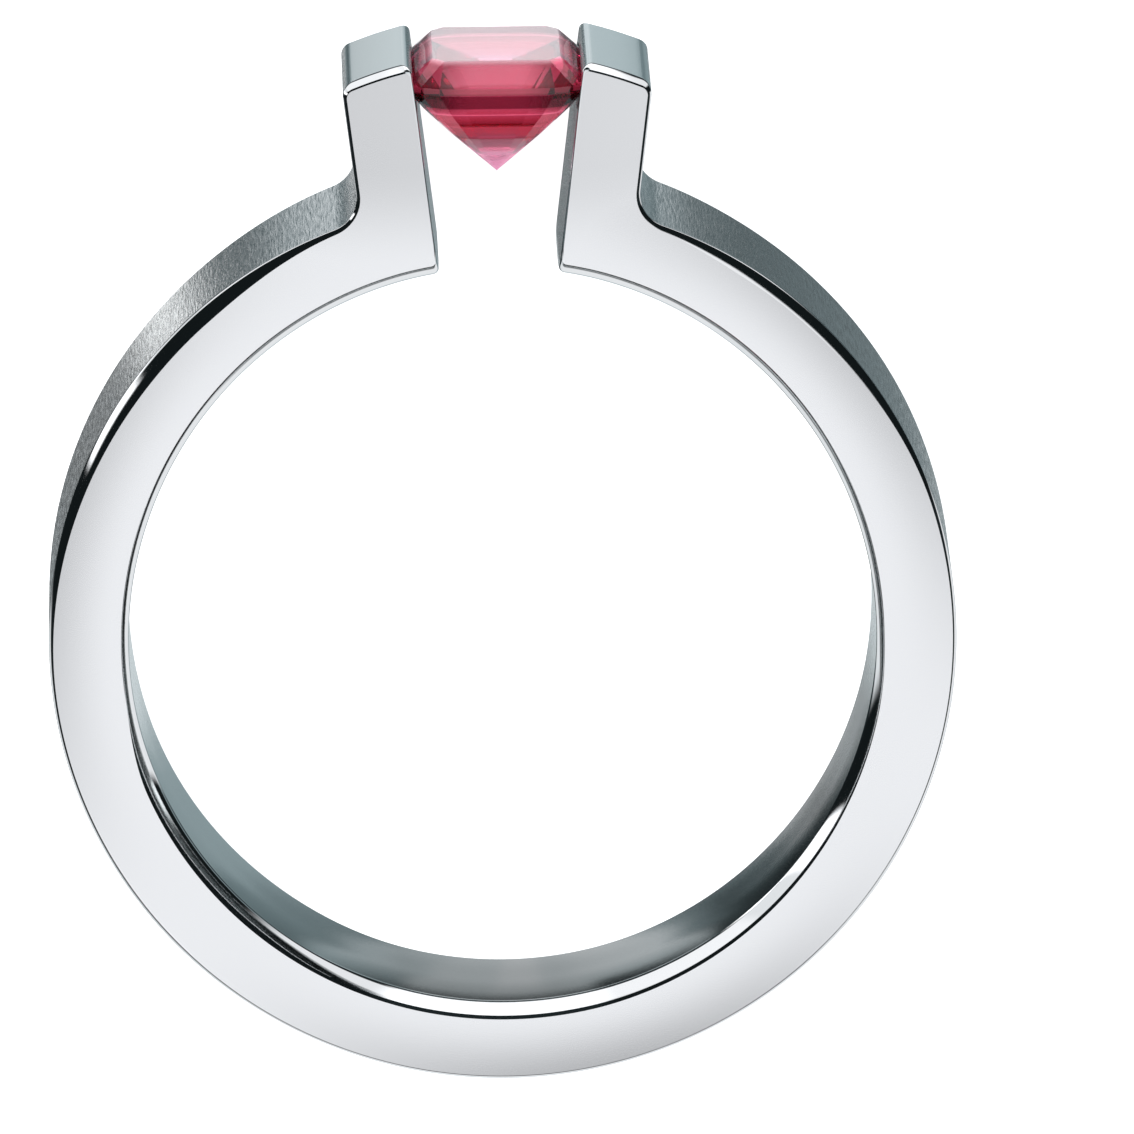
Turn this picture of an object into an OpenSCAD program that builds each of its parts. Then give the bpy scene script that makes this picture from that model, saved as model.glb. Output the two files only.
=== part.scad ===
// Tension-set ring: an open band whose two ends stand up as posts and grip a cut stone by its edge.
// The ring lies on its side. Z is the axis of the finger hole, +Y points to the stone.
// The origin is the middle of the finger hole. All sizes are in millimetres.

/* [Band] */
// Inner diameter of the finger hole
finger_d = 17.4; // [17:0.1:18]
// Metal between the finger hole and the outside
wall = 1.86; // [1.7:0.02:2.1]
// Depth of the band along the finger
band_depth = 4.7; // [4.6:0.1:5]
// Rounding of the outer edges
edge_round = 0.15; // [0.05:0.05:0.2]
// Rounding of the finger hole's two rims
rim_round = 0.3; // [0.1:0.05:0.35]

/* [Posts] */
// Opening between the posts, measured where it meets the finger hole
foot_gap = 2.8; // [2.74:0.02:2.9]
// Outward lean of each post, in degrees
post_lean = 7; // [6.8:0.1:7.4]
// Thickness of each post
post_thick = 1.66; // [1.4:0.02:2]
// Radius of the arc that the post tops follow, seen along the finger
crest_r = 8.9; // [8:0.1:10]
// Height of that arc's top above the middle of the finger hole
crest_top = 13.98; // [13.9:0.02:14.1]
// Rounding of the front and back edges of the post tops
crest_round = 0.2; // [0.1:0.05:0.25]
// Rounding of the outer edges of the posts
post_round = 0.1; // [0.05:0.05:0.15]
// Radius of the fillet between a post and the shoulder
shoulder_r = 0.8; // [0.5:0.1:1]

/* [Stone] */
// Width of the stone, from post to post
stone_w = 4.3; // [4.24:0.02:4.36]
// Length of the stone along the finger
stone_l = 4.6; // [4.4:0.02:4.64]
// Width of the table, from post to post
table_w = 2.96; // [2.8:0.02:3.1]
// Length of the table along the finger
table_l = 3.56; // [3.2:0.02:3.7]
// Height of the crown above the girdle
crown_h = 0.56; // [0.4:0.02:0.6]
// Thickness of the girdle
girdle_h = 0.16; // [0.1:0.02:0.2]
// Depth of the pavilion from the girdle to the point
pavilion_h = 2.31; // [2:0.01:2.4]
// Height of the girdle's top edge above the middle of the finger hole
seat_y = 13.16; // [13.1:0.01:13.18]
// Clear space between the stone and its grooves
seat_gap = 0.04; // [0.03:0.01:0.05]

/* [Hidden] */
$fn = 96;
bore_r = finger_d / 2;
outer_r = bore_r + wall;
foot_y = sqrt(pow(bore_r + rim_round, 2) - pow(foot_gap / 2, 2));
half_w = stone_w / 2;
half_l = stone_l / 2;

// Rounded corner of the stone's outline, a row for each point of one side: share across, share along
corner_points = [
    [1.00, 0.40],
    [0.98, 0.62],
    [0.90, 0.82],
];

// Where each flat of the table ends, as a share of the way to the table's corner
table_flat = 0.82;

// Pavilion steps, a row for each ring of edges: share of the width, share of the depth
pavilion_steps = [
    [0.80, 0.24],
    [0.48, 0.56],
];

// Groove: how far it runs along the finger each way, as a share of half the stone's length
groove_share = 0.86;
groove_reach = 0.5;

// Half of the opening between the posts at height y
function half_gap(y) = foot_gap / 2 + (y - foot_y) * tan(post_lean);

// A corner's points in order: down the rows, then back up them with across and along exchanged
function both_ways(rows) = concat(rows, [for (i = [len(rows) - 1:-1:0]) [rows[i][1], rows[i][0]]]);

// A closed outline made of one corner at each quarter turn, stretched to half a width and half a length
function four_corners(rows, half_x, half_z) = [
    for (quarter = [0:3]) let (turn = 90 * quarter) for (p = both_ways(rows))
        [half_x * (p[0] * cos(turn) - p[1] * sin(turn)), half_z * (p[0] * sin(turn) + p[1] * cos(turn))]
];

// The girdle's outline
function outline() = four_corners(corner_points, half_w, half_l);

// The outline at a share of its width, lifted to height z
function ring(share, z) = [for (p = outline()) [p[0] * share, p[1] * share, z]];

// A disc with both outer edges rounded, centred on the origin
module rounded_disc(r, edge) {
    rotate_extrude() {
        translate([0, -band_depth / 2]) square([r - edge, band_depth]);
        translate([0, edge - band_depth / 2]) square([r, band_depth - 2 * edge]);
        for (side = [-1, 1]) translate([r - edge, side * (band_depth / 2 - edge)]) circle(edge, $fn = 48);
    }
}

// The finger hole, with a rounded flare at both rims
module finger_hole() {
    rotate_extrude() difference() {
        translate([0, -band_depth / 2 - 1]) square([bore_r + rim_round, band_depth + 2]);
        translate([bore_r, rim_round - band_depth / 2]) square([2, band_depth - 2 * rim_round]);
        for (side = [-1, 1])
            translate([bore_r + rim_round, side * (band_depth / 2 - rim_round)]) circle(rim_round, $fn = 48);
    }
}

// The right-hand post before its top, gap and groove are cut
module post_bar() {
    long = crest_top + 1 - outer_r * 0.9;
    translate([half_gap(outer_r * 0.9), outer_r * 0.9, 0]) rotate([0, 0, -post_lean]) rotate([-90, 0, 0])
        linear_extrude(long) union() {
            translate([-0.3, -band_depth / 2]) square([post_thick + 0.3 - post_round, band_depth]);
            translate([-0.3, post_round - band_depth / 2])
                square([post_thick + 0.3, band_depth - 2 * post_round]);
            for (side = [-1, 1])
                translate([post_thick - post_round, side * (band_depth / 2 - post_round)])
                    circle(post_round, $fn = 48);
        }
}

// The concave fillet between the right-hand post's outer face and the shoulder
module shoulder() {
    face_s = (half_gap(0) * cos(post_lean)) + post_thick;
    centre_s = face_s + shoulder_r;
    centre_t = sqrt(pow(outer_r + shoulder_r, 2) - pow(centre_s, 2));
    turn = -post_lean;
    centre = [
        centre_s * cos(turn) - centre_t * sin(turn),
        centre_s * sin(turn) + centre_t * cos(turn)
    ];
    on_post = [
        (centre_s - shoulder_r) * cos(turn) - centre_t * sin(turn),
        (centre_s - shoulder_r) * sin(turn) + centre_t * cos(turn)
    ];
    on_ring = centre * outer_r / (outer_r + shoulder_r);
    inside = [on_post[0] - 0.3, on_ring[1] - 0.5];
    difference() {
        linear_extrude(band_depth - 2 * edge_round, center = true) polygon([on_post, inside, on_ring]);
        translate([centre[0], centre[1], 0]) cylinder(band_depth + 1, r = shoulder_r, center = true);
    }
}

// The wedge-shaped opening between the posts
module gap() {
    low = bore_r * 0.6;
    high = crest_top + 2;
    linear_extrude(band_depth + 2, center = true) polygon([
        [-half_gap(low), low], [half_gap(low), low],
        [half_gap(high), high], [-half_gap(high), high]
    ]);
}

// The blind groove in the right-hand post that takes the stone's edge
module groove() {
    top = seat_y + seat_gap;
    low = seat_y - girdle_h - seat_gap;
    deep = half_w + seat_gap;
    crown_slope = crown_h / (half_w - table_w / 2);
    pavilion_slope = pavilion_steps[0][1] * pavilion_h / ((1 - pavilion_steps[0][0]) * half_w);
    linear_extrude(2 * groove_share * half_l, center = true) polygon([
        [deep, top], [deep - groove_reach, top + groove_reach * crown_slope],
        [deep - groove_reach, low - groove_reach * pavilion_slope], [deep, low]
    ]);
}

module band() color([0.78, 0.79, 0.79]) difference() {
    union() {
        rounded_disc(outer_r, edge_round);
        for (side = [0, 1]) mirror([side, 0, 0]) {
            intersection() {
                post_bar();
                translate([0, crest_top - crest_r, 0]) rounded_disc(crest_r, crest_round);
            }
            shoulder();
        }
    }
    finger_hole();
    gap();
    for (side = [0, 1]) mirror([side, 0, 0]) groove();
}

// The cut stone: table, crown, girdle, stepped pavilion and point
module stone() color([0.80, 0.16, 0.33, 0.6]) translate([0, seat_y, 0]) rotate([-90, 0, 0]) {
    around = len(outline());
    reach = len(corner_points);
    table = [for (p = four_corners([[1, table_flat]], table_w / 2, table_l / 2)) [p[0], p[1], crown_h]];
    rings = concat([ring(1, 0), ring(1, -girdle_h)],
        [for (row = pavilion_steps) ring(row[0], -girdle_h - row[1] * pavilion_h)]);
    culet = [[0, 0, -girdle_h - pavilion_h]];
    points = concat(table, [for (loop = rings) each loop], culet);
    first = len(table);
    last = len(points) - 1;
    lowest = first + (len(rings) - 1) * around;
    // each table corner fans out to the points of one side of a girdle corner
    fans = [for (k = [0:first - 1]) for (step = [0:reach - 2]) let (base = first + k * reach + step)
        [k, base + 1, base]];
    // each long table edge faces a flat of the girdle, and each short one a corner, with two facets
    bezels = [for (k = [1:2:first - 1]) let (base = first + (k + 1) * reach)
        [k, (k + 1) % first, first + (base - first) % around, base - 1]];
    corners = [for (k = [0:2:first - 1]) let (base = first + (k + 1) * reach)
        each [[k, k + 1, base - 1], [k + 1, base, base - 1]]];
    walls = [for (level = [0:len(rings) - 2]) for (step = [0:around - 1]) let (base = first + level * around)
        [base + step, base + (step + 1) % around,
            base + around + (step + 1) % around, base + around + step]];
    tip = [for (step = [0:around - 1]) [lowest + step, lowest + (step + 1) % around, last]];
    polyhedron(points, concat([[for (k = [first - 1:-1:0]) k]], fans, bezels, corners, walls, tip));
}

band();
stone();
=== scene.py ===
import math

import bpy
import numpy as np
from mathutils import Matrix, Vector


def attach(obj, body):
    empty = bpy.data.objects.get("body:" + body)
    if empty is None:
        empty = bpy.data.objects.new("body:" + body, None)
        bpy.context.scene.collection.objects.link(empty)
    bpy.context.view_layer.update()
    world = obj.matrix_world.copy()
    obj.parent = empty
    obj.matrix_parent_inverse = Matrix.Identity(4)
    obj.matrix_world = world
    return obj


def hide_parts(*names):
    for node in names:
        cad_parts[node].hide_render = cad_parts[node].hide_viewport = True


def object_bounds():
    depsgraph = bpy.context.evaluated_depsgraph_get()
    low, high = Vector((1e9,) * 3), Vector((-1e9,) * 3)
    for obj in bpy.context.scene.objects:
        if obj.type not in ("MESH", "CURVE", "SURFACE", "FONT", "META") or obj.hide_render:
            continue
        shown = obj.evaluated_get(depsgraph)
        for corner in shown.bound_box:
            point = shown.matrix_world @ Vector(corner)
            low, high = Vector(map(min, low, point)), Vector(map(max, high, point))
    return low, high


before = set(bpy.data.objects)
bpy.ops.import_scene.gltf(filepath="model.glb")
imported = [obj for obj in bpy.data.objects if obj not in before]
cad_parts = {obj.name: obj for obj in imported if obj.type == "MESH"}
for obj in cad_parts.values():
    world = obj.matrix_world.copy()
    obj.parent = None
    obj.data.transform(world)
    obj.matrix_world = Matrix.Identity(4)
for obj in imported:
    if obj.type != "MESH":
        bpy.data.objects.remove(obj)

cadBox = [[float(value) for value in corner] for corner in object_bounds()]
print("frame loaded, solids reach", cadBox)

mm = 0.001


# Camera: the photograph looks along the finger hole from 14 degrees towards the stone's side
cameraSettings = {
    "raised": 14.0,           # degrees off the ring's axis, towards the stone
    "aside": -0.85,           # degrees off the axis, towards -X
    "roll": 0.55,             # the ring stands this many degrees off plumb in the picture
    "distance": 600 * mm,
    "pixelsPerMm": 43.0,      # scale of the band's front face in the photograph
    "imageWidth": 1134,
    "ringCentre": (502.9, 641.1),  # pixel of the front face's middle
    "sensorWidth": 36,
    "clip": (0.01, 10),
}


def makeCamera(settings):
    tilt, turn = math.radians(settings["raised"]), math.radians(settings["aside"])
    towards = Vector((math.sin(turn), math.sin(tilt), math.cos(tilt))).normalized()
    right = Vector((0, 1, 0)).cross(towards).normalized()
    up = towards.cross(right)
    spin = Matrix.Rotation(math.radians(-settings["roll"]), 3, towards)
    right, up = spin @ right, spin @ up
    half = settings["imageWidth"] / 2
    aside = (half - settings["ringCentre"][0]) / settings["pixelsPerMm"] * mm
    above = (settings["ringCentre"][1] - half) / settings["pixelsPerMm"] * mm
    faceCentre = Vector((0, 0, cadBox[1][2]))
    aim = faceCentre + right * aside + up * above
    data = bpy.data.cameras.new("camera")
    data.sensor_width = settings["sensorWidth"]
    shown = settings["imageWidth"] / settings["pixelsPerMm"] * mm
    data.lens = settings["sensorWidth"] * settings["distance"] / shown
    data.clip_start, data.clip_end = settings["clip"]
    camera = bpy.data.objects.new("camera", data)
    place = Matrix((right, up, towards)).transposed().to_4x4()
    place.translation = aim + towards * settings["distance"]
    camera.matrix_world = place
    bpy.context.collection.objects.link(camera)
    bpy.context.scene.camera = camera


makeCamera(cameraSettings)
print("camera placed")


# Small helpers for node materials
def newMaterial(name):
    material = bpy.data.materials.new(name)
    material.use_nodes = True
    nodes, links = material.node_tree.nodes, material.node_tree.links
    return material, nodes, links, nodes["Principled BSDF"]


def addNode(nodes, kind, **values):
    node = nodes.new(kind)
    for key, value in values.items():
        setattr(node, key, value)
    return node


def feed(links, socket, value):
    # a link from another node, or one value for all
    if isinstance(value, bpy.types.NodeSocket):
        links.new(value, socket)
    else:
        socket.default_value = value


def calculate(nodes, links, operation, first, second=0.0, third=0.0):
    node = addNode(nodes, "ShaderNodeMath", operation=operation)
    for socket, value in zip(node.inputs, (first, second, third)):
        feed(links, socket, value)
    return node.outputs[0]


def mixColours(nodes, links, share, first, second, blend="MIX"):
    node = addNode(nodes, "ShaderNodeMix", data_type="RGBA", blend_type=blend)
    for name, value in (("Factor", share), ("A", first), ("B", second)):
        feed(links, node.inputs[name], value)
    return node.outputs["Result"]


def rampBetween(nodes, links, value, low, high):
    # from 0 to 1 between two values, with level ends
    node = addNode(nodes, "ShaderNodeMapRange", interpolation_type="SMOOTHSTEP")
    links.new(value, node.inputs["Value"])
    node.inputs["From Min"].default_value = low
    node.inputs["From Max"].default_value = high
    return node.outputs["Result"]


def colourStops(nodes, links, value, stops):
    # a colour that changes with a value from 0 to 1, through stops of a value and a colour
    node = addNode(nodes, "ShaderNodeValToRGB")
    elements = node.color_ramp.elements
    while len(elements) < len(stops):
        elements.new(0.5)
    for element, (position, colour) in zip(elements, stops):
        element.position = position
        element.color = (*colour, 1)
    links.new(value, node.inputs["Fac"])
    return node.outputs["Color"]


def stopsAlong(nodes, links, length, stops):
    # a colour that changes with a length in metres, through stops given in millimetres
    low, high = stops[0][0], stops[-1][0]
    share = addNode(nodes, "ShaderNodeMapRange")
    share.inputs["From Min"].default_value = low * mm
    share.inputs["From Max"].default_value = high * mm
    links.new(length, share.inputs["Value"])
    shares = [((place - low) / (high - low), colour) for place, colour in stops]
    return colourStops(nodes, links, share.outputs["Result"], shares)


def objectPlace(nodes, links):
    place = addNode(nodes, "ShaderNodeTexCoord")
    parts = addNode(nodes, "ShaderNodeSeparateXYZ")
    links.new(place.outputs["Object"], parts.inputs[0])
    return parts.outputs


# Metal: one recipe, with a finish for each zone of the band. "grain" is how fine it is along the outline and
# through the depth, in turns per millimetre, "spread" and "contrast" are how far it changes the roughness and
# the colour, "shade" is how dark the painted slow shade gets, and "across" is painted light and shade: the
# share of the colour at places from left to right, in millimetres, higher for a painted highlight, lower for
# painted shade
metalFinishes = {
    "satinFace": {"colour": (0.885, 0.885, 0.90), "roughness": 0.26, "spread": 0.05, "grain": (60, 60),
                  "bump": 0.09, "contrast": 0.08, "shade": 0.46},
    "brushedOutside": {"colour": (0.54, 0.66, 0.70), "roughness": 0.20, "spread": 0.12, "grain": (14, 1.3),
                       "bump": 1.0, "contrast": 1.45, "shade": 0,
                       # painted highlight near the posts and a small one on the left shoulder, painted shade
                       # further out on both sides
                       "across": ((-10.5, 0.34), (-9.5, 0.42), (-8.67, 0.36), (-7.86, 0.58), (-7.04, 0.42),
                                 (-5.9, 0.52), (-4.75, 1.12), (-3.5, 1.20), (3.5, 1.20), (4.6, 0.47),
                                 (5.7, 0.35), (6.9, 0.40), (8.1, 0.34), (10.5, 0.31))},
    "polishedEdge": {"colour": (0.80, 0.81, 0.82), "roughness": 0.05, "spread": 0.03, "grain": (30, 30),
                     "bump": 0.011, "contrast": 0.04, "shade": 0},
    "smoothBore": {"colour": (0.80, 0.93, 0.95), "roughness": 0.13, "spread": 0.07, "grain": (14, 40),
                   "bump": 0.055, "contrast": 0.12, "shade": 0,
                   # painted shade for dark reflections: the bore is darker from its middle to the right, and
                   # full at both ends
                   "across": ((-10.5, 1.0), (-6.0, 1.0), (-4.7, 0.78), (-3.2, 0.42), (-2.4, 0.27),
                              (-1.4, 0.24), (1.2, 0.25), (2.4, 0.34), (3.6, 0.40), (4.6, 0.35), (6.2, 0.20),
                              (7.4, 0.22), (8.1, 0.90), (10.5, 1.0))},
    "gapSide": {"colour": (0.46, 0.52, 0.53), "roughness": 0.30, "spread": 0.15, "grain": (20, 6),
                "bump": 0.22, "contrast": 0.25, "shade": 0},
    "smoothCrest": {"colour": (0.56, 0.62, 0.63), "roughness": 0.16, "spread": 0.06, "grain": (30, 12),
                    "bump": 0.055, "contrast": 0.10, "shade": 0,
                    # painted light and shade: the left post's top darker, the right one's lighter
                    "across": ((-5.0, 0.78), (-3.2, 0.84), (-2.3, 1.0), (1.5, 1.05), (2.3, 1.15),
                               (3.3, 1.20), (5.0, 1.20))},
}

# What the finishes share
metalGrain = {
    "detail": 3,
    "breakUp": 0.65,            # roughness of the noise itself
    "noiseRange": (0.3, 0.7),   # its values that count as lowest and highest
    "leastRoughness": 0.02,
    "bumpDistance": 0.018 * mm,
    "mostPaintedShare": 1.2,          # the largest share that "across" gives
}

# Painted shade: a slow darkening of the satin face's colour, strongest near its outer edge and on the posts,
# in place of its uneven reflections
paintedFaceShade = {
    "waves": 3,                 # round the ring
    "darkest": 168,             # degrees from the stone, towards +X
    "uneven": 0.2,              # the waves are weaker by this share a quarter turn from there
    "radii": (9.0, 10.7),       # between these they fade in, in millimetres
    "postHeights": (8.8, 11.4),  # and between these the posts' shade does
    "postShade": 0.465,         # that shade midway between the posts
    "postSlope": -28.0,         # and its change per metre towards +X
}


def paintedSlowShade(nodes, links, s):
    # painted shade: waves round the ring, fading in from its inner edge to its outer one, and a steady shade
    # up the posts
    def work(*values):
        return calculate(nodes, links, *values)

    def between(value, limits):
        return rampBetween(nodes, links, value, limits[0] * mm, limits[1] * mm)

    x, y = objectPlace(nodes, links)[:2]
    radius = work("SQRT", work("ADD", work("MULTIPLY", x, x), work("MULTIPLY", y, y)))
    turn = work("SUBTRACT", work("ARCTAN2", x, y), math.radians(s["darkest"]))
    wave = work("MULTIPLY_ADD", work("COSINE", work("MULTIPLY", turn, s["waves"])), 0.5, 0.5)
    uneven = work("MULTIPLY_ADD", work("COSINE", turn), s["uneven"], 1 - s["uneven"])
    around = work("MULTIPLY", work("MULTIPLY", wave, uneven), between(radius, s["radii"]))
    leftwards = work("MULTIPLY_ADD", x, s["postSlope"], s["postShade"])
    return work("MAXIMUM", around, work("MULTIPLY", between(y, s["postHeights"]), leftwards))


def makeMetal(name, finish, grain):
    material, nodes, links, shader = newMaterial(name)
    shader.inputs["Metallic"].default_value = 1
    uv = addNode(nodes, "ShaderNodeUVMap", uv_map="surface")
    stretch = addNode(nodes, "ShaderNodeMapping")
    stretch.inputs["Scale"].default_value = (finish["grain"][0], finish["grain"][1], 1)
    links.new(uv.outputs["UV"], stretch.inputs["Vector"])
    noise = addNode(nodes, "ShaderNodeTexNoise")
    noise.inputs["Scale"].default_value = 1
    noise.inputs["Detail"].default_value = grain["detail"]
    noise.inputs["Roughness"].default_value = grain["breakUp"]
    links.new(stretch.outputs["Vector"], noise.inputs["Vector"])

    def fromNoise(low, high):
        node = addNode(nodes, "ShaderNodeMapRange")
        limits = zip(("From Min", "From Max", "To Min", "To Max"), (*grain["noiseRange"], low, high))
        for socket, value in limits:
            node.inputs[socket].default_value = value
        links.new(noise.outputs["Fac"], node.inputs["Value"])
        return node.outputs["Result"]

    least = max(grain["leastRoughness"], finish["roughness"] - finish["spread"])
    links.new(fromNoise(least, finish["roughness"] + finish["spread"]), shader.inputs["Roughness"])

    # colour: two tones by the grain, then the painted slow shade, then the painted light and shade from left
    # to right
    most = grain["mostPaintedShare"] if finish.get("across") else 1
    tones = []
    for change in (-0.5, 0.5):
        factor = 1 + change * finish["contrast"]
        tones.append((*[min(1, most * factor * part) for part in finish["colour"]], 1))
    colour = mixColours(nodes, links, fromNoise(0, 1), *tones)
    if finish["shade"]:
        darkest = (*[1 - finish["shade"]] * 3, 1)
        colour = mixColours(nodes, links, paintedSlowShade(nodes, links, paintedFaceShade), colour, darkest, "MULTIPLY")
    # painted highlight and painted shade, by place from left to right
    if finish.get("across"):
        stops = [(x, [share / most] * 3) for x, share in finish["across"]]
        shares = stopsAlong(nodes, links, objectPlace(nodes, links)[0], stops)
        colour = mixColours(nodes, links, 1, colour, shares, "MULTIPLY")
    links.new(colour, shader.inputs["Base Color"])

    bump = addNode(nodes, "ShaderNodeBump")
    bump.inputs["Strength"].default_value = finish["bump"]
    bump.inputs["Distance"].default_value = grain["bumpDistance"]
    links.new(noise.outputs["Fac"], bump.inputs["Height"])
    links.new(bump.outputs["Normal"], shader.inputs["Normal"])
    return material


# Band: its outline is one closed loop, so its sides are that loop carried through the depth
bandShape = {
    "boreRadius": 8.70 * mm,
    "outerRadius": 10.56 * mm,
    "crestRadius": 8.9 * mm,    # the arc that the tops of the posts follow
    "crestTop": 13.98 * mm,     # that arc's highest point, from the middle of the finger hole
    "depth": 4.7 * mm,
    "footGap": 2.80 * mm,       # opening where the posts meet the finger hole
    "footHeight": 8.89 * mm,    # height at which that opening is measured
    "lean": 7.0,                # degrees
    "postThickness": 1.66 * mm,
    "shoulderRadius": 0.8 * mm,
    "innerCorner": 0.20 * mm,   # rounding of a post's top corners, seen from the front
    "outerCorner": 0.36 * mm,
    "footCorner": 0.15 * mm,
    "edgeSteps": 18,
    "depthSteps": 13,
    "blend": 6,                 # points of the outline over which one depth of rounding turns into the next
    "profilePoints": 401,       # steps in which a rounding's profile is added up
    "creaseJump": 5,            # a lean that jumps by more degrees makes a crease
    "sharpAngle": 28,           # degrees between faces that aren't shaded as one
    "fade": 0.8 * mm,           # how far down a post the face's lines bend to follow its crest
    "counts": {"round": 150, "outerRound": 144, "foot": 7, "face": 70, "corner": 6, "fillet": 16, "top": 12},
}

# Rounded edges: how far inside the walls the flat face starts, and how deep each rounding goes. Where there
# are two of a kind, the first is for the left and the second for the right
edgeShape = {
    "shoulderInset": (0.31 * mm, 0.25 * mm),  # at its widest, on the shoulders
    "postInset": 0.09 * mm,      # outside of the posts
    "crestInset": 0.16 * mm,     # tops of the posts
    "sideInset": 0.09 * mm,      # outside at the sides and below
    "gapInset": 0.05 * mm,       # along the gap
    "rimInset": 0.29 * mm,       # finger hole's rim at its top and bottom
    "rimSideInset": 0.18 * mm,   # at its sides
    "rimLowInset": (0.34 * mm, 0.22 * mm),  # and between its sides and its bottom
    "rimReach": 0.97,            # its sides end this share of its radius above and below the middle
    "flare": 0.12 * mm,          # the hole opens by this much towards its rims at the top and bottom
    "backFlare": 0.3,            # share of that at the back
    "flareFrom": 0.5 * mm,       # starting this far from the middle of its depth
    "spare": 0.05 * mm,          # least height between a rounding and the wall's first row
    "innerCorner": 0.10 * mm,    # the flat face's own corners
    "outerCorner": 0.20 * mm,
    "footCorner": 0.10 * mm,
    # changes round the band: the degrees from the stone between which each one happens
    "shoulderWidens": ((18, 42), (18, 34)),     # outer edge, from the posts to its widest
    "shoulderNarrows": ((48, 98), (42, 72)),    # and on to the sides
    "rimWidens": ((98, 114), (88, 102)),        # the hole's rim, below its sides
    "upperEnds": ((78, 92), (78, 92)),          # upperLean to sideLean, in the hole
    "broadStarts": ((140, 165), (92, 102)),     # sideLean to broadLean, in the hole
    "darkEnds": ((72, 86), (72, 86)),           # darkLean to upperLean, outside
    # the surface's lean, in degrees, at shares of the way across an edge from the face to the wall
    # tops, and lower part of the hole
    "broadLean": ((0, 46), (0.16, 50), (0.16, 59), (0.80, 72), (0.84, 75.5), (0.97, 78.5), (1, 90)),
    "sideLean": ((0, 44), (0.60, 57), (0.82, 65), (0.92, 76), (1, 90)),      # sides of the hole
    "darkLean": ((0, 41), (0.76, 54), (0.88, 74), (1, 90)),                  # outside
    "upperLean": ((0, 41), (0.14, 47), (0.72, 61), (1, 90)),   # upper part of the hole, and outside below
    "roundLean": ((0, 0), (1, 90)),                                          # gap
}


def arc(centre, radius, start, end, count):
    # points along a circle's arc from one angle to another, and the direction from its centre to each
    turn = np.linspace(start, end, count)
    way = np.stack([np.cos(turn), np.sin(turn)], 1)
    return np.asarray(centre) + radius * way, way


def straight(reach, low, high, count, across, along):
    # inner points of a straight stretch of post, at one reach across it
    rise = np.linspace(low, high, count + 2)[1:-1]
    return across * reach + np.outer(rise, along)


def leanWays(s):
    # up the post, and out through its outer face
    lean = math.radians(s["lean"])
    return np.array([math.sin(lean), math.cos(lean)]), np.array([math.cos(lean), -math.sin(lean)])


def rimSizes(s, e):
    # the walls' sizes where the finger hole's flare ends
    return dict(s, boreRadius=s["boreRadius"] + e["flare"])


def faceSizes(s, e):
    # the sizes of the flat face's outline: the walls' sizes less the rounded edges
    return dict(
        s, boreRadius=s["boreRadius"] + e["flare"] + e["rimInset"],
        outerRadius=s["outerRadius"] - e["postInset"],
        crestTop=s["crestTop"] - e["crestInset"], gapInset=e["gapInset"],
        postThickness=s["postThickness"] - e["gapInset"] - e["postInset"],
        shoulderRadius=s["shoulderRadius"] + e["postInset"],
        innerCorner=e["innerCorner"], outerCorner=e["outerCorner"], footCorner=e["footCorner"])


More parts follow.
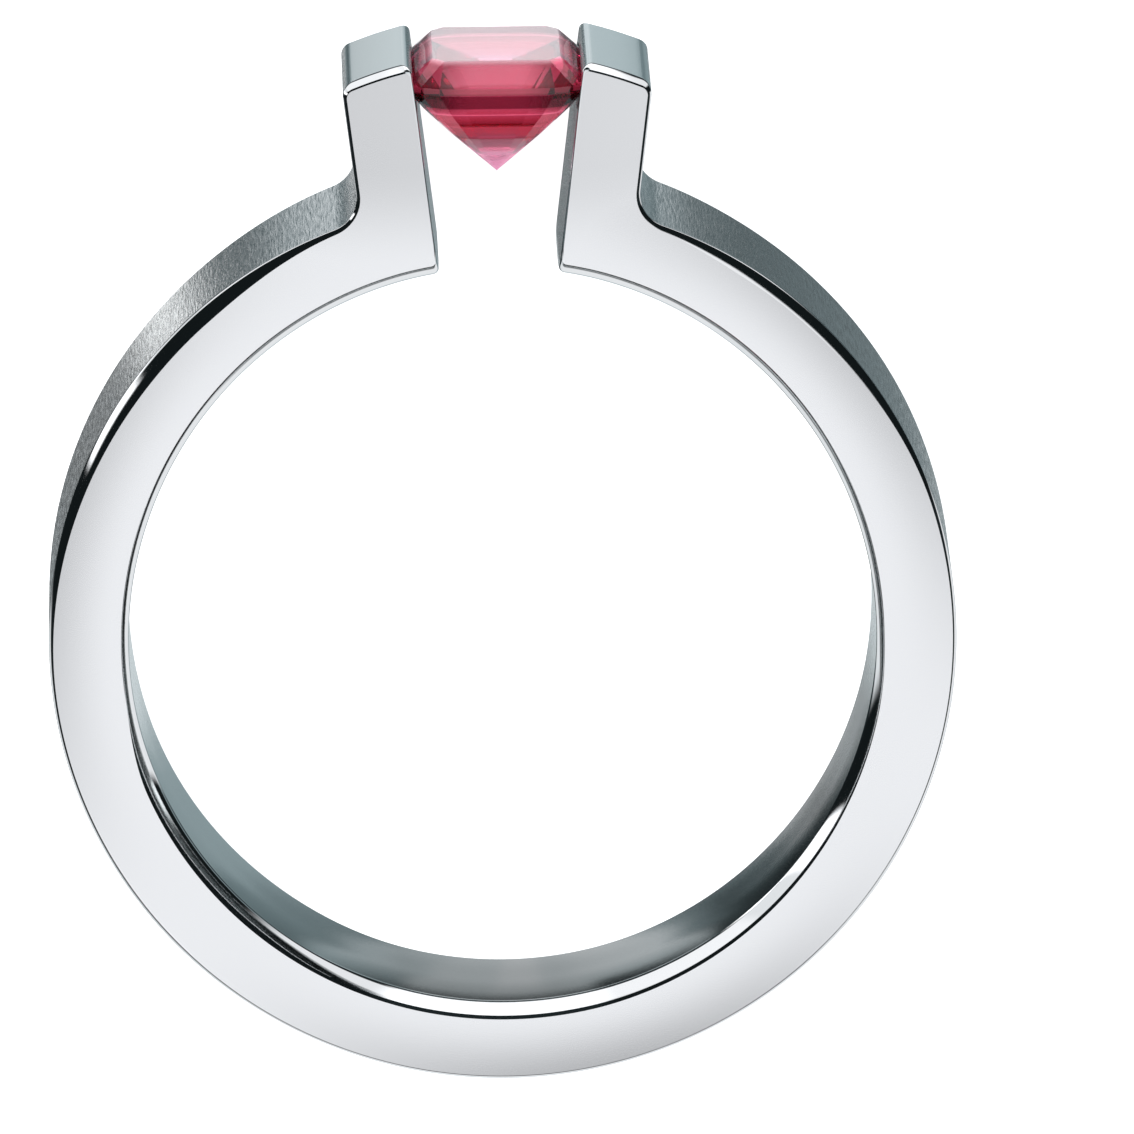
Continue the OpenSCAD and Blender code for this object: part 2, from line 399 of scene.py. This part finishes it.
def halfOutline(s):
    # right half of the band seen from the front: inner run, outer run and crest, each as points and the
    # directions that face away from the metal; lines and arcs that meet at their tangents
    lean = math.radians(s["lean"])
    along, across = leanWays(s)
    innerFace = np.array([s["footGap"] / 2, s["footHeight"]]) @ across + s.get("gapInset", 0)
    outerFace = innerFace + s["postThickness"]
    inWay, outWay = math.pi - lean, -lean
    crestMiddle = np.array([0, s["crestTop"] - s["crestRadius"]])

    def centreAt(reach, radius, middle=np.zeros(2)):
        # the point at one reach across the post and one distance from an arc's middle
        rise = math.sqrt(radius ** 2 - (reach - middle @ across) ** 2)
        return across * reach + along * (middle @ along + rise)

    footCentre = centreAt(innerFace + s["footCorner"], s["boreRadius"] + s["footCorner"])
    filletCentre = centreAt(outerFace + s["shoulderRadius"], s["outerRadius"] + s["shoulderRadius"])
    innerCentre = centreAt(innerFace + s["innerCorner"], s["crestRadius"] - s["innerCorner"], crestMiddle)
    outerCentre = centreAt(outerFace - s["outerCorner"], s["crestRadius"] - s["outerCorner"], crestMiddle)
    boreEnd, ringEnd = math.atan2(*footCentre[::-1]), math.atan2(*filletCentre[::-1])
    innerTop, outerTop = [math.atan2(*(p - crestMiddle)[::-1]) for p in (innerCentre, outerCentre)]
    innerMiddle, outerMiddle = (inWay + innerTop) / 2, (outWay + outerTop) / 2

    n = s["counts"]
    bore, boreWay = arc((0, 0), s["boreRadius"], -math.pi / 2, boreEnd, n["round"])
    foot, footWay = arc(footCentre, s["footCorner"], boreEnd + math.pi, inWay, n["foot"])
    face = straight(innerFace, footCentre @ along, innerCentre @ along, n["face"], across, along)
    lip, lipWay = arc(innerCentre, s["innerCorner"], inWay, innerMiddle, n["corner"])
    inner = np.concatenate([bore, foot[1:], face, lip])
    innerAway = np.concatenate([-boreWay, footWay[1:], np.tile(-across, (len(face), 1)), lipWay])

    ringPoints, ringWay = arc((0, 0), s["outerRadius"], -math.pi / 2, ringEnd, n["outerRound"])
    fillet, filletWay = arc(
        filletCentre, s["shoulderRadius"], ringEnd + math.pi, outWay + math.pi, n["fillet"])
    spare = len(inner) - len(ringPoints) - (n["fillet"] - 1) - n["corner"]
    side = straight(outerFace, filletCentre @ along, outerCentre @ along, spare, across, along)
    brow, browWay = arc(outerCentre, s["outerCorner"], outWay, outerMiddle, n["corner"])
    outer = np.concatenate([ringPoints, fillet[1:], side, brow])
    outerAway = np.concatenate([ringWay, -filletWay[1:], np.tile(across, (len(side), 1)), browWay])

    first, firstWay = arc(innerCentre, s["innerCorner"], innerMiddle, innerTop, n["corner"])
    top, topWay = arc(crestMiddle, s["crestRadius"], innerTop, outerTop, n["top"])
    final, finalWay = arc(outerCentre, s["outerCorner"], outerTop, outerMiddle, n["corner"])
    crest = np.concatenate([first[1:], top[1:-1], final[:-1]])
    crestAway = np.concatenate([firstWay[1:], topWay[1:-1], finalWay[:-1]])
    return (inner, innerAway), (outer, outerAway), (crest, crestAway)


def ease(value, low, high):
    # from 0 to 1 between two values, with level ends
    share = np.clip((value - low) / (high - low), 0, 1)
    return share * share * (3 - 2 * share)


def edgeProfile(leans, s):
    # across an edge: the lean is added up into the way inwards and the way down, each as a share of its
    # whole, at points that are even in both lean and distance; a jump in the lean is a crease with a point
    # on it
    share = np.linspace(0, 1, s["profilePoints"])
    lean = np.interp(share, *zip(*leans))
    inwards = np.concatenate([[0], np.cumsum(np.cos(np.radians(lean[1:])))])
    down = np.concatenate([[0], np.cumsum(np.sin(np.radians(lean[1:])))])
    turned = np.diff(lean)
    jumps = turned > s["creaseJump"]
    even = np.concatenate([[0], np.cumsum(np.diff(share) + np.where(jumps, 0, turned) / 90)])
    pick = np.interp(np.linspace(0, even[-1], s["edgeSteps"] + 1), even, share)
    crease = -1
    for jump in np.flatnonzero(jumps):
        crease = int(np.argmin(np.abs(pick - share[jump])))
        pick[crease] = share[jump]
    pull = 1 - np.interp(pick, share, inwards / inwards[-1])
    sink = np.interp(pick, share, down / down[-1])
    return pull, sink, down[-1] / inwards[-1], crease


def closedLoop(s):
    # the whole outline: along the inside, over the right crest, back along the outside, over the left crest
    flip = np.array([-1, 1])
    (inner, innerAway), (outer, outerAway), (crest, crestAway) = halfOutline(s)

    def across(run):
        return np.concatenate([(run * flip)[:0:-1], run])

    points = [across(inner), crest, across(outer)[::-1], (crest * flip)[::-1]]
    away = [across(innerAway), crestAway, across(outerAway)[::-1], (crestAway * flip)[::-1]]
    return np.concatenate(points), np.concatenate(away), [len(run) for run in points]


# Groove: the blind slot in each post that takes the stone's edge
grooveShape = {
    "deep": 2.19 * mm,          # from the band's middle plane
    "top": 13.20 * mm,
    "low": 12.96 * mm,
    "upperSlope": 0.836,        # rise for each step back towards the gap
    "lowerSlope": 1.289,        # and fall
    "halfLength": 1.978 * mm,
    "slack": 1e-9,              # rounding error allowed at its ends
}


def grooveDepth(points, across, g):
    # how far the stone's groove goes in from a point of the inner face, along the post's thickness:
    # the least of the distances to the groove's wall, upper slope and lower slope
    x, y = np.abs(points[:, 0]), points[:, 1]
    wall = (g["deep"] - x) / across[0]
    upper = (g["top"] + (g["deep"] - x) * g["upperSlope"] - y) / (across[0] * g["upperSlope"] + across[1])
    lower = (y - g["low"] + (g["deep"] - x) * g["lowerSlope"]) / (across[0] * g["lowerSlope"] - across[1])
    return np.clip(np.minimum(np.minimum(wall, upper), lower), 0, None)


def makeMesh(name, points, faces, materials, slots, uv, smooth=True):
    mesh = bpy.data.meshes.new(name)
    mesh.from_pydata(points.tolist(), [], faces)
    for material in materials:
        mesh.materials.append(material)
    mesh.polygons.foreach_set("material_index", np.asarray(slots, dtype=np.int32))
    mesh.polygons.foreach_set("use_smooth", np.full(len(mesh.polygons), smooth))
    if uv is not None:
        layer = mesh.uv_layers.new(name="surface")
        layer.data.foreach_set("uv", uv.astype(np.float32).ravel())
    mesh.update()
    piece = bpy.data.objects.new(name, mesh)
    bpy.context.collection.objects.link(piece)
    return piece


def findZones(lengths, s):
    # which stretch of the outline each of its points is on
    run = np.repeat(np.arange(4), lengths)   # 0 inner run, 1 and 3 crests, 2 outer run
    boreCount = s["counts"]["round"] + s["counts"]["foot"] - 1
    onBore = np.abs(np.arange(len(run)) - (lengths[0] - 1) / 2) <= boreCount
    return {"bore": (run == 0) & onBore, "gapSide": (run == 0) & ~onBore, "outside": run == 2,
            "crest": (run == 1) | (run == 3)}


def shapeEdges(loop, away, zones, s, e):
    # for each point of the outline: where its rounding meets the flat face and where it meets the wall, how
    # deep it goes, and its profile
    inside, insideAway, _ = closedLoop(faceSizes(s, e))
    fromStone = np.degrees(np.abs(np.arctan2(loop[:, 0], loop[:, 1])))
    onRight = loop[:, 0] > 0
    span = s["blend"]
    kernel = np.hanning(2 * span + 3)[1:-1]
    kernel /= kernel.sum()

    def bySide(name):
        # one value on the left and another on the right
        left, right = e[name]
        return np.where(onRight, right, left)

    def change(name):
        # from 0 to 1 between two angles on the left and two on the right
        left, right = e[name]
        return np.where(onRight, ease(fromStone, *right), ease(fromStone, *left))

    def blend(values):
        # each point's value softened with its neighbours', all round
        return np.convolve(np.concatenate([values[-span:], values, values[:span]]), kernel, "valid")

    # widths: the hole's rims narrow towards its sides, and the outer edges are widest on the shoulders
    beside = np.clip(1 - (loop[:, 1] / (e["rimReach"] * s["boreRadius"])) ** 2, 0, 1)
    beside = np.where(zones["bore"], beside, 0)
    rim = closedLoop(rimSizes(s, e))[0] + away * (e["flare"] * beside)[:, None]
    sideInset = e["rimSideInset"] + (bySide("rimLowInset") - e["rimSideInset"]) * change("rimWidens")
    back = (e["flare"] + e["rimInset"] - sideInset) * beside
    widest = bySide("shoulderInset")
    rise, fall = change("shoulderWidens"), change("shoulderNarrows")
    out = e["postInset"] + (widest - e["postInset"]) * rise - (widest - e["sideInset"]) * fall
    back = np.where(zones["outside"], e["postInset"] - out, back)
    inside = inside + insideAway * back[:, None]

    # profiles: each stretch has its own, and turns into the next one's
    upper, bottom, under = 1 - change("upperEnds"), change("broadStarts"), change("darkEnds")
    shares = {
        "broadLean": zones["crest"] + zones["bore"] * bottom,
        "darkLean": zones["outside"] * (1 - under),
        "roundLean": 1.0 * zones["gapSide"],
        "upperLean": zones["bore"] * upper + zones["outside"] * under,
        "sideLean": zones["bore"] * (1 - upper - bottom),
    }
    weights = np.array([blend(values) for values in shares.values()])
    pulls, sinks, drops, creases = zip(*[edgeProfile(e[name], s) for name in shares])
    deep = blend(np.linalg.norm(inside - rim, axis=1)) * (np.array(drops) @ weights)
    return {
        "inside": inside, "rim": rim, "deep": deep,
        "pull": np.tensordot(weights, np.array(pulls), (0, 0)),
        "sink": np.tensordot(weights, np.array(sinks), (0, 0)),
        "crease": creases[0], "creased": weights[0] > 0.5}


def wallPoints(loop, zones, edges, s, e, g):
    # through the depth: a rounded edge, straight lines that reach the groove's ends, and a rounded edge again
    half, end, count = s["depth"] / 2, g["halfLength"], len(loop)
    deep = edges["deep"][:, None]
    middle = np.linspace(-end, end, s["depthSteps"])[::-1]
    pull = np.concatenate([edges["pull"], np.zeros((count, len(middle))), edges["pull"][:, ::-1]], 1)
    front = half - deep * edges["sink"]
    clear = np.minimum(1, (half - deep - e["spare"]) / end)
    z = np.concatenate([front, clear * middle, -front[:, ::-1]], 1)
    flare = np.clip((np.abs(z) - e["flareFrom"]) / (half - deep - e["flareFrom"]), 0, 1) ** 2
    flare = flare * np.where(z < 0, e["backFlare"], 1)
    plane = loop[:, None, :] + (edges["rim"] - loop)[:, None, :] * flare[:, :, None]
    plane = plane + (edges["inside"] - edges["rim"])[:, None, :] * pull[:, :, None]
    across = leanWays(s)[1]
    inGroove = np.abs(z) <= end + g["slack"]
    cut = np.where(zones["gapSide"], grooveDepth(loop, across, g), 0)[:, None] * inGroove
    push = np.column_stack([np.sign(loop[:, 0]) * across[0], np.full(count, across[1])])
    plane = plane + push[:, None, :] * cut[:, :, None]
    return np.concatenate([plane, z[:, :, None]], 2)


def wallFaces(walls, loop):
    # each face joins two neighbouring points of the outline on two neighbouring lines; the UV map holds the
    # way along the outline and the depth
    count, lines = walls.shape[:2]
    index = np.arange(count)
    following = (index + 1) % count
    a = index[:, None] * lines + np.arange(lines - 1)[None, :]
    b = following[:, None] * lines + np.arange(lines - 1)[None, :]
    quads = np.stack([a, b, b + 1, a + 1], 2).reshape(-1, 4)
    near = np.concatenate([[0], np.cumsum(np.linalg.norm(np.diff(loop, axis=0), axis=1))])
    far = np.append(near[1:], near[-1] + np.linalg.norm(loop[0] - loop[-1]))
    z, nextZ = walls[:, :, 2], walls[following, :, 2]

    def corner(along, height):
        return np.stack([np.tile(along[:, None], (1, lines - 1)), height], 2)

    uv = np.stack([corner(near, z[:, :-1]), corner(far, nextZ[:, :-1]), corner(far, nextZ[:, 1:]),
                   corner(near, z[:, 1:])], 2)
    return quads, uv.reshape(-1, 2)


def flatGrid(edge, lengths, s):
    # straight lines across from the inner run to the outer one, bent to the crests near their ends
    rows, side = lengths[:2]
    low, high = edge[:rows], edge[rows + side:2 * rows + side][::-1]
    right, left = edge[rows:rows + side], edge[2 * rows + side:][::-1]
    ends = [np.concatenate([low[:1], left, high[:1]]), np.concatenate([low[-1:], right, high[-1:]])]
    step = np.linalg.norm(np.diff(ends[1], axis=0), axis=1)
    share = np.concatenate([[0], np.cumsum(step)]) / step.sum()
    grid = low[:, None] * (1 - share)[None, :, None] + high[:, None] * share[None, :, None]
    for crest, row in zip(ends, (0, -1)):
        gap = crest - (low[row] * (1 - share)[:, None] + high[row] * share[:, None])
        fade = np.clip(1 - np.linalg.norm(low - low[row], axis=1) / s["fade"], 0, 1) ** 2
        near = np.arange(rows) < rows / 2 if row == 0 else np.arange(rows) >= rows / 2
        grid += (fade * near)[:, None, None] * gap[None]
    return grid


def flatIndex(line, lines, base, lengths):
    # the flat face's points by number: its border is a line of the walls, and the others are its own
    rows, side = lengths[:2]
    full = np.empty((rows, side + 2), int)
    full[1:-1, 1:-1] = base + np.arange((rows - 2) * side).reshape(rows - 2, side)
    full[:, 0] = np.arange(rows) * lines + line
    full[:, -1] = (rows + side + np.arange(rows)[::-1]) * lines + line
    full[-1, 1:-1] = (rows + np.arange(side)) * lines + line
    full[0, 1:-1] = (2 * rows + side + np.arange(side)[::-1]) * lines + line
    return full


def markCrease(mesh, edges, lines):
    # edges of the mesh that follow the profile's crease are sharp where the broad profile has most weight
    count = len(edges["creased"])
    ends = np.zeros(2 * len(mesh.edges), np.int32)
    mesh.edges.foreach_get("vertices", ends)
    ends = ends.reshape(-1, 2)
    line, place = ends % lines, np.minimum(ends // lines, count - 1)
    onCrease = (line == edges["crease"]) | (line == lines - 1 - edges["crease"])
    onCrease = onCrease & (ends < count * lines) & edges["creased"][place]
    marks = mesh.attributes["sharp_edge"].data
    sharp = np.zeros(len(marks), bool)
    marks.foreach_get("value", sharp)
    marks.foreach_set("value", sharp | onCrease.all(axis=1))


def makeBand(s, e, g, finishes):
    loop, away, lengths = closedLoop(s)
    zones = findZones(lengths, s)
    edges = shapeEdges(loop, away, zones, s, e)
    walls = wallPoints(loop, zones, edges, s, e, g)
    lines, steps, half = walls.shape[1], s["edgeSteps"], s["depth"] / 2

    # walls: a finish for each zone, and polish on the rounded edges
    order = ("satinFace", "brushedOutside", "smoothBore", "gapSide", "smoothCrest", "polishedEdge")
    slot = {name: number for number, name in enumerate(order)}
    isEdge = np.zeros(lines - 1, bool)
    isEdge[:steps], isEdge[-steps:] = True, True
    wallSlot = np.select([zones["bore"], zones["gapSide"], zones["outside"]],
                         [slot["smoothBore"], slot["gapSide"], slot["brushedOutside"]], slot["smoothCrest"])
    wallSlot = np.where(isEdge[None, :], slot["polishedEdge"], wallSlot[:, None]).reshape(-1)
    quads, wallUv = wallFaces(walls, loop)
    points, faces, slots = [walls.reshape(-1, 3)], [quads], [wallSlot]
    base = len(points[0])

    # flat faces at the front and the back
    for line, height in ((0, half), (lines - 1, -half)):
        grid = flatGrid(walls[:, line, :2], lengths, s)
        full = flatIndex(line, lines, base, lengths)
        own = np.dstack([grid, np.full(grid.shape[:2], height)])[1:-1, 1:-1].reshape(-1, 3)
        points.append(own)
        base += len(own)
        corners = (full[:-1, :-1], full[:-1, 1:], full[1:, 1:], full[1:, :-1])
        quads = np.stack(corners if height > 0 else corners[::-1], 2).reshape(-1, 4)
        faces.append(quads)
        slots.append(np.full(len(quads), slot["satinFace"]))
    points = np.concatenate(points)
    faceUv = [points[quads][:, :, :2].reshape(-1, 2) for quads in faces[1:]]
    band = makeMesh("ring_band", points, np.concatenate(faces).tolist(), [finishes[name] for name in order],
                    np.concatenate(slots), np.concatenate([wallUv, *faceUv]) / mm)
    band.data.set_sharp_from_angle(angle=math.radians(s["sharpAngle"]))
    markCrease(band.data, edges, lines)
    return band


metals = {name: makeMetal(name, finish, metalGrain) for name, finish in metalFinishes.items()}
band = makeBand(bandShape, edgeShape, grooveShape, metals)
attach(band, "root")
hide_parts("band")
print("band made,", len(band.data.polygons), "faces")


# Stone: rings of twenty-four points round its axis, joined by flat facets
stoneShape = {
    "width": 4.3 * mm,          # from post to post
    "length": 4.6 * mm,         # along the finger
    "tableWidth": 2.96 * mm,
    "tableLength": 3.56 * mm,
    "crown": 0.56 * mm,
    "girdle": 0.16 * mm,
    "pavilion": 2.31 * mm,
    "height": 13.16 * mm,        # the girdle's upper edge, from the middle of the finger hole
    # one side of a rounded corner, as shares of half the width and half the length
    "corner": ((1, 0.40), (0.98, 0.62), (0.90, 0.82)),
    "tableFlat": 0.82,          # where each flat of the table ends, as a share of the way to its corner
    "steps": ((0.80, 0.24), (0.48, 0.56)),   # share of the width, share of the pavilion's depth
}

gemFinish = {
    "index": 1.57,
    # share of the light that goes in, where the rest is scattered, by height in millimetres
    "clear": ((10.69, 0.78), (11.15, 0.74), (11.30, 0.52), (12.05, 0.58), (12.12, 0.92), (13.62, 0.92),
              (13.71, 0.70), (13.72, 0.70)),
    "depthColour": (0.94, 0.08, 0.42),
    "depthDensity": 350,        # per metre
    # colour by height in millimetres: pale point, crimson under the girdle, clear above it, with painted
    # shade in the dark bands under the girdle and painted light in the near-white table
    "tintsAndPaintedShade": ((10.69, (0.86, 0.74, 0.95)), (11.25, (0.92, 0.72, 0.90)), (11.35, (0.97, 0.40, 0.56)),
              (11.66, (0.97, 0.24, 0.36)), (11.71, (0.75, 0.08, 0.15)), (11.76, (0.95, 0.15, 0.25)),
              (12.05, (0.85, 0.12, 0.20)), (12.12, (0.30, 0.03, 0.05)), (12.40, (0.24, 0.02, 0.035)),
              (12.43, (0.70, 0.20, 0.27)), (12.50, (0.40, 0.07, 0.10)), (12.60, (0.28, 0.04, 0.06)),
              (12.62, (0.05, 0.004, 0.008)), (12.97, (0.035, 0.002, 0.005)), (13.01, (0.30, 0.05, 0.08)),
              (13.16, (0.72, 0.30, 0.38)), (13.24, (0.98, 0.84, 0.90)), (13.72, (1.0, 0.90, 0.955))),
    # painted shade near the posts: there the colour is multiplied by these instead, by height, from one
    # distance off the middle to another
    "cornerFrom": (0.5, 1.45),
    "cornerPaintedShade": ((12.40, (1.0, 1.0, 1.0)), (12.62, (0.16, 0.12, 0.14)), (13.00, (0.16, 0.12, 0.14)),
                    (13.20, (0.40, 0.24, 0.28)), (13.60, (0.36, 0.20, 0.24)), (13.70, (1.0, 1.0, 1.0))),
}


def makeGem(name, finish):
    material, nodes, links, shader = newMaterial(name)
    sideways, height = objectPlace(nodes, links)[:2]
    offMiddle = calculate(nodes, links, "ABSOLUTE", sideways)
    near, far = finish["cornerFrom"]
    share = rampBetween(nodes, links, offMiddle, near * mm, far * mm)
    # the stone's colour by height with painted shade and painted light, times painted shade near the posts
    tintsAndPaintedShade = stopsAlong(nodes, links, height, finish["tintsAndPaintedShade"])
    cornerPaintedShade = stopsAlong(nodes, links, height, finish["cornerPaintedShade"])
    links.new(mixColours(nodes, links, share, tintsAndPaintedShade, cornerPaintedShade, "MULTIPLY"), shader.inputs["Base Color"])
    shader.inputs["Roughness"].default_value = 0
    shader.inputs["IOR"].default_value = finish["index"]
    stops = [(y, [clear] * 3) for y, clear in finish["clear"]]
    links.new(stopsAlong(nodes, links, height, stops), shader.inputs["Transmission Weight"])
    depth = addNode(nodes, "ShaderNodeVolumeAbsorption")
    depth.inputs["Color"].default_value = (*finish["depthColour"], 1)
    depth.inputs["Density"].default_value = finish["depthDensity"]
    links.new(depth.outputs["Volume"], nodes["Material Output"].inputs["Volume"])
    return material


def makeStone(s, material):
    spin = np.array([[0.0, -1.0], [1.0, 0.0]])

    def fourCorners(rows, size):
        corner = np.concatenate([rows, np.array(rows)[::-1, ::-1]])
        whole = np.concatenate([corner @ np.linalg.matrix_power(spin, k).T for k in range(4)])
        return whole * np.array(size) / 2

    outline = fourCorners(s["corner"], (s["width"], s["length"]))
    table = fourCorners([[1, s["tableFlat"]]], (s["tableWidth"], s["tableLength"]))
    table = np.column_stack([table, np.full(len(table), s["crown"])])
    around, first, reach = len(outline), len(table), len(s["corner"])

    def level(share, height):
        return np.column_stack([outline * share, np.full(around, height)])

    rings = [level(1, 0), level(1, -s["girdle"])]
    rings += [level(share, -s["girdle"] - part * s["pavilion"]) for share, part in s["steps"]]
    tip = np.array([[0, 0, -s["girdle"] - s["pavilion"]]])
    local = np.concatenate([table, *rings, tip])
    points = np.column_stack([local[:, 0], local[:, 2] + s["height"], -local[:, 1]])
    step = np.arange(around)
    after = (step + 1) % around
    faces = [list(range(first))]
    for k in range(first):
        base = first + k * reach
        faces += [[k, base + i, base + i + 1] for i in range(reach - 1)]
        near, far, other = base + reach - 1, first + (k + 1) * reach % around, (k + 1) % first
        faces += [[k, near, far, other]] if k % 2 else [[k, near, other], [other, near, far]]
    for layer in range(len(rings) - 1):
        low = first + layer * around
        under = low + around
        faces += np.column_stack([low + step, under + step, under + after, low + after]).tolist()
    last = first + (len(rings) - 1) * around
    faces += np.column_stack([last + step, np.full(around, len(local) - 1), last + after]).tolist()
    return makeMesh("cut_stone", points, faces, [material], np.zeros(len(faces), int), None, smooth=False)


stone = makeStone(stoneShape, makeGem("rosePinkGem", gemFinish))
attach(stone, "root")
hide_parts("stone")
print("stone made")


# Floor and light: a pale table in a light tent. The metal doesn't mirror the table, but what the tent
# shows below it, which is how the photograph's ring, standing up, mirrors its studio
floorSettings = {
    "size": 600 * mm,
    "drop": 0.02 * mm,          # how far it lies below the ring
    "colour": (0.80, 0.80, 0.80),
    "roughness": 0.8,
    "shine": 0.1,
    "glow": 0.85,
}


def makeFloor(s):
    half, height = s["size"] / 2, cadBox[0][2] - s["drop"]
    corners = ((-half, -half), (half, -half), (half, half), (-half, half))
    points = np.array([(x, y, height) for x, y in corners])
    material, nodes, links, shader = newMaterial("paleTable")
    shader.inputs["Base Color"].default_value = (*s["colour"], 1)
    shader.inputs["Roughness"].default_value = s["roughness"]
    shader.inputs["Specular IOR Level"].default_value = s["shine"]
    shader.inputs["Emission Color"].default_value = (1, 1, 1, 1)
    shader.inputs["Emission Strength"].default_value = s["glow"]
    floor = makeMesh("table_top", points, [[0, 1, 2, 3]], [material], [0], None)
    floor.visible_glossy = False
    floor.visible_shadow = False


makeFloor(floorSettings)

# The tent's brightness on each side, by angle from straight up. The sides follow each other from left to
# right: each starts between two angles from the stone's side, left being negative. Most sides have the same
# ceiling
ceiling = ((66, 0.80), (30, 0.97), (0, 1.02))
tentSettings = {
    "farSide": ((180, 0.60), (166, 0.75), (150, 0.60), (138, 0.45), (130, 0.95), (112, 1.00), (106, 0.02),
                (78, 0.02), (69, 0.80), (30, 0.95), (0, 1.02)),
    "leftBack": ((180, 0.90), (168, 0.90), (164, 0.05), (138, 0.02), (130, 0.90), (112, 0.95), (106, 0.02),
                 (76, 0.01), (68, 0.80), (30, 0.97), (0, 1.02)),
    "leftFar": ((180, 0.45), (166, 0.20), (161, 0.05), (157, 0.01), (71, 0.01), *ceiling),
    "leftWindow": ((180, 0.30), (166, 0.10), (146, 0.02), (143, 0.02), (140, 1.60), (92, 1.60), (89, 0.01),
                   (71, 0.01), *ceiling),
    "leftGap": ((180, 0.45), (166, 0.30), (155, 0.08), (142, 0.02), (139, 0.02), (136, 0.95), (106, 0.95),
                (102, 0.01), (71, 0.01), *ceiling),
    "leftNear": ((180, 0.90), (166, 0.85), (153, 0.70), (149, 0.05), (137, 0.02), (134, 1.15), (106, 1.15),
                 (102, 0.01), (71, 0.01), *ceiling),
    "stoneSide": ((180, 0.80), (149, 0.80), (144, 0.05), (138, 0.05), (135, 1.50), (104, 1.50), (100, 0.02),
                  (75, 0.02), (68, 0.80), (30, 0.97), (0, 1.02)),
    "overStone": ((180, 0.90), (160, 0.90), (149, 0.85), (144, 0.05), (138, 0.05), (135, 1.50), (104, 1.50),
                  (100, 0.02), (75, 0.02), (68, 0.80), (30, 0.97), (0, 1.02)),
    "rightNear": ((180, 0.80), (166, 0.64), (150, 0.40), (142, 0.02), (130, 0.02), (127, 1.00), (108, 1.00),
                  (104, 0.01), (78, 0.01), (75, 1.05), (71, 1.05), *ceiling),
    "rightSide": ((180, 0.32), (166, 0.23), (155, 0.18), (142, 0.02), (130, 0.02), (128, 0.30), (121, 0.30),
                  (119, 0.01), (78, 0.01), (75, 1.05), (71, 1.05), *ceiling),
    "rightBack": ((180, 0.38), (166, 0.34), (150, 0.27), (138, 0.22), (130, 0.95), (105, 1.00), (101, 0.02),
                  (76, 0.02), (68, 0.80), (30, 0.95), (0, 1.02)),
    "starts": (("leftBack", -158, -150), ("leftFar", -104, -96), ("leftWindow", -78, -75),
               ("leftGap", -65, -62), ("leftNear", -53, -49), ("stoneSide", -22, -16), ("overStone", -9, -6),
               ("stoneSide", 3, 6), ("rightNear", 22, 28), ("rightSide", 46, 56), ("rightBack", 83, 88),
               ("farSide", 138, 150)),
    "dark": (0.70, 1.00, 1.08),      # colour of its dark parts, and of its bright ones
    "light": (0.975, 0.985, 1.00),
    "gain": 1.6,                     # its greatest brightness
}


def makeTent(s):
    world = bpy.data.worlds.new("lightTent")
    world.use_nodes = True
    bpy.context.scene.world = world
    nodes, links = world.node_tree.nodes, world.node_tree.links
    background = nodes["Background"]

    def work(*values):
        return calculate(nodes, links, *values)

    def profile(angle, stops):
        # brightness by angle from straight up, over half a turn, bluish green where it is dark
        colours = []
        for degrees, value in sorted(stops):
            share = min(1, value)
            tint = [share * light + (1 - share) * dark for light, dark in zip(s["light"], s["dark"])]
            colours.append((degrees / 180, [part * value / s["gain"] for part in tint]))
        return colourStops(nodes, links, angle, colours)

    place = addNode(nodes, "ShaderNodeTexCoord")
    parts = addNode(nodes, "ShaderNodeSeparateXYZ")
    links.new(place.outputs["Generated"], parts.inputs[0])
    x, y, z = parts.outputs
    sides = work("SQRT", work("ADD", work("MULTIPLY", x, x), work("MULTIPLY", y, y)))
    angle = work("DIVIDE", work("ARCTAN2", sides, z), math.pi)
    turn = work("MULTIPLY", work("ARCTAN2", x, y), 180 / math.pi)
    tone = profile(angle, s["farSide"])
    for name, low, high in s["starts"]:
        share = rampBetween(nodes, links, turn, low, high)
        tone = mixColours(nodes, links, share, tone, profile(angle, s[name]))
    links.new(tone, background.inputs["Color"])
    background.inputs["Strength"].default_value = s["gain"]


makeTent(tentSettings)


# Lamps: a soft one in front, at the upper left, and a small one close behind the left shoulder, which lights
# its brushed metal
lampSettings = {
    "keyLight": {"place": (-340 * mm, 200 * mm, 300 * mm), "target": (0, 0, 0),
                 "size": 160 * mm, "power": 1.7, "mirrored": False},
    "shoulderLight": {"place": (-14.9 * mm, 6.9 * mm, -29 * mm), "target": (-7.7 * mm, 7.3 * mm, 0),
                      "size": 4 * mm, "power": 0.00010, "mirrored": True},
}


def makeLamp(name, s):
    data = bpy.data.lights.new(name, "AREA")
    data.size = s["size"]
    data.energy = s["power"]
    lamp = bpy.data.objects.new(name, data)
    lamp.location = s["place"]
    lamp.rotation_euler = (Vector(s["target"]) - Vector(s["place"])).to_track_quat("-Z", "Y").to_euler()
    lamp.visible_glossy = s["mirrored"]
    bpy.context.collection.objects.link(lamp)


for name, settings in lampSettings.items():
    makeLamp(name, settings)
print("stage lit")

bpy.context.scene.view_settings.view_transform = "Standard"
bpy.context.view_layer.update()
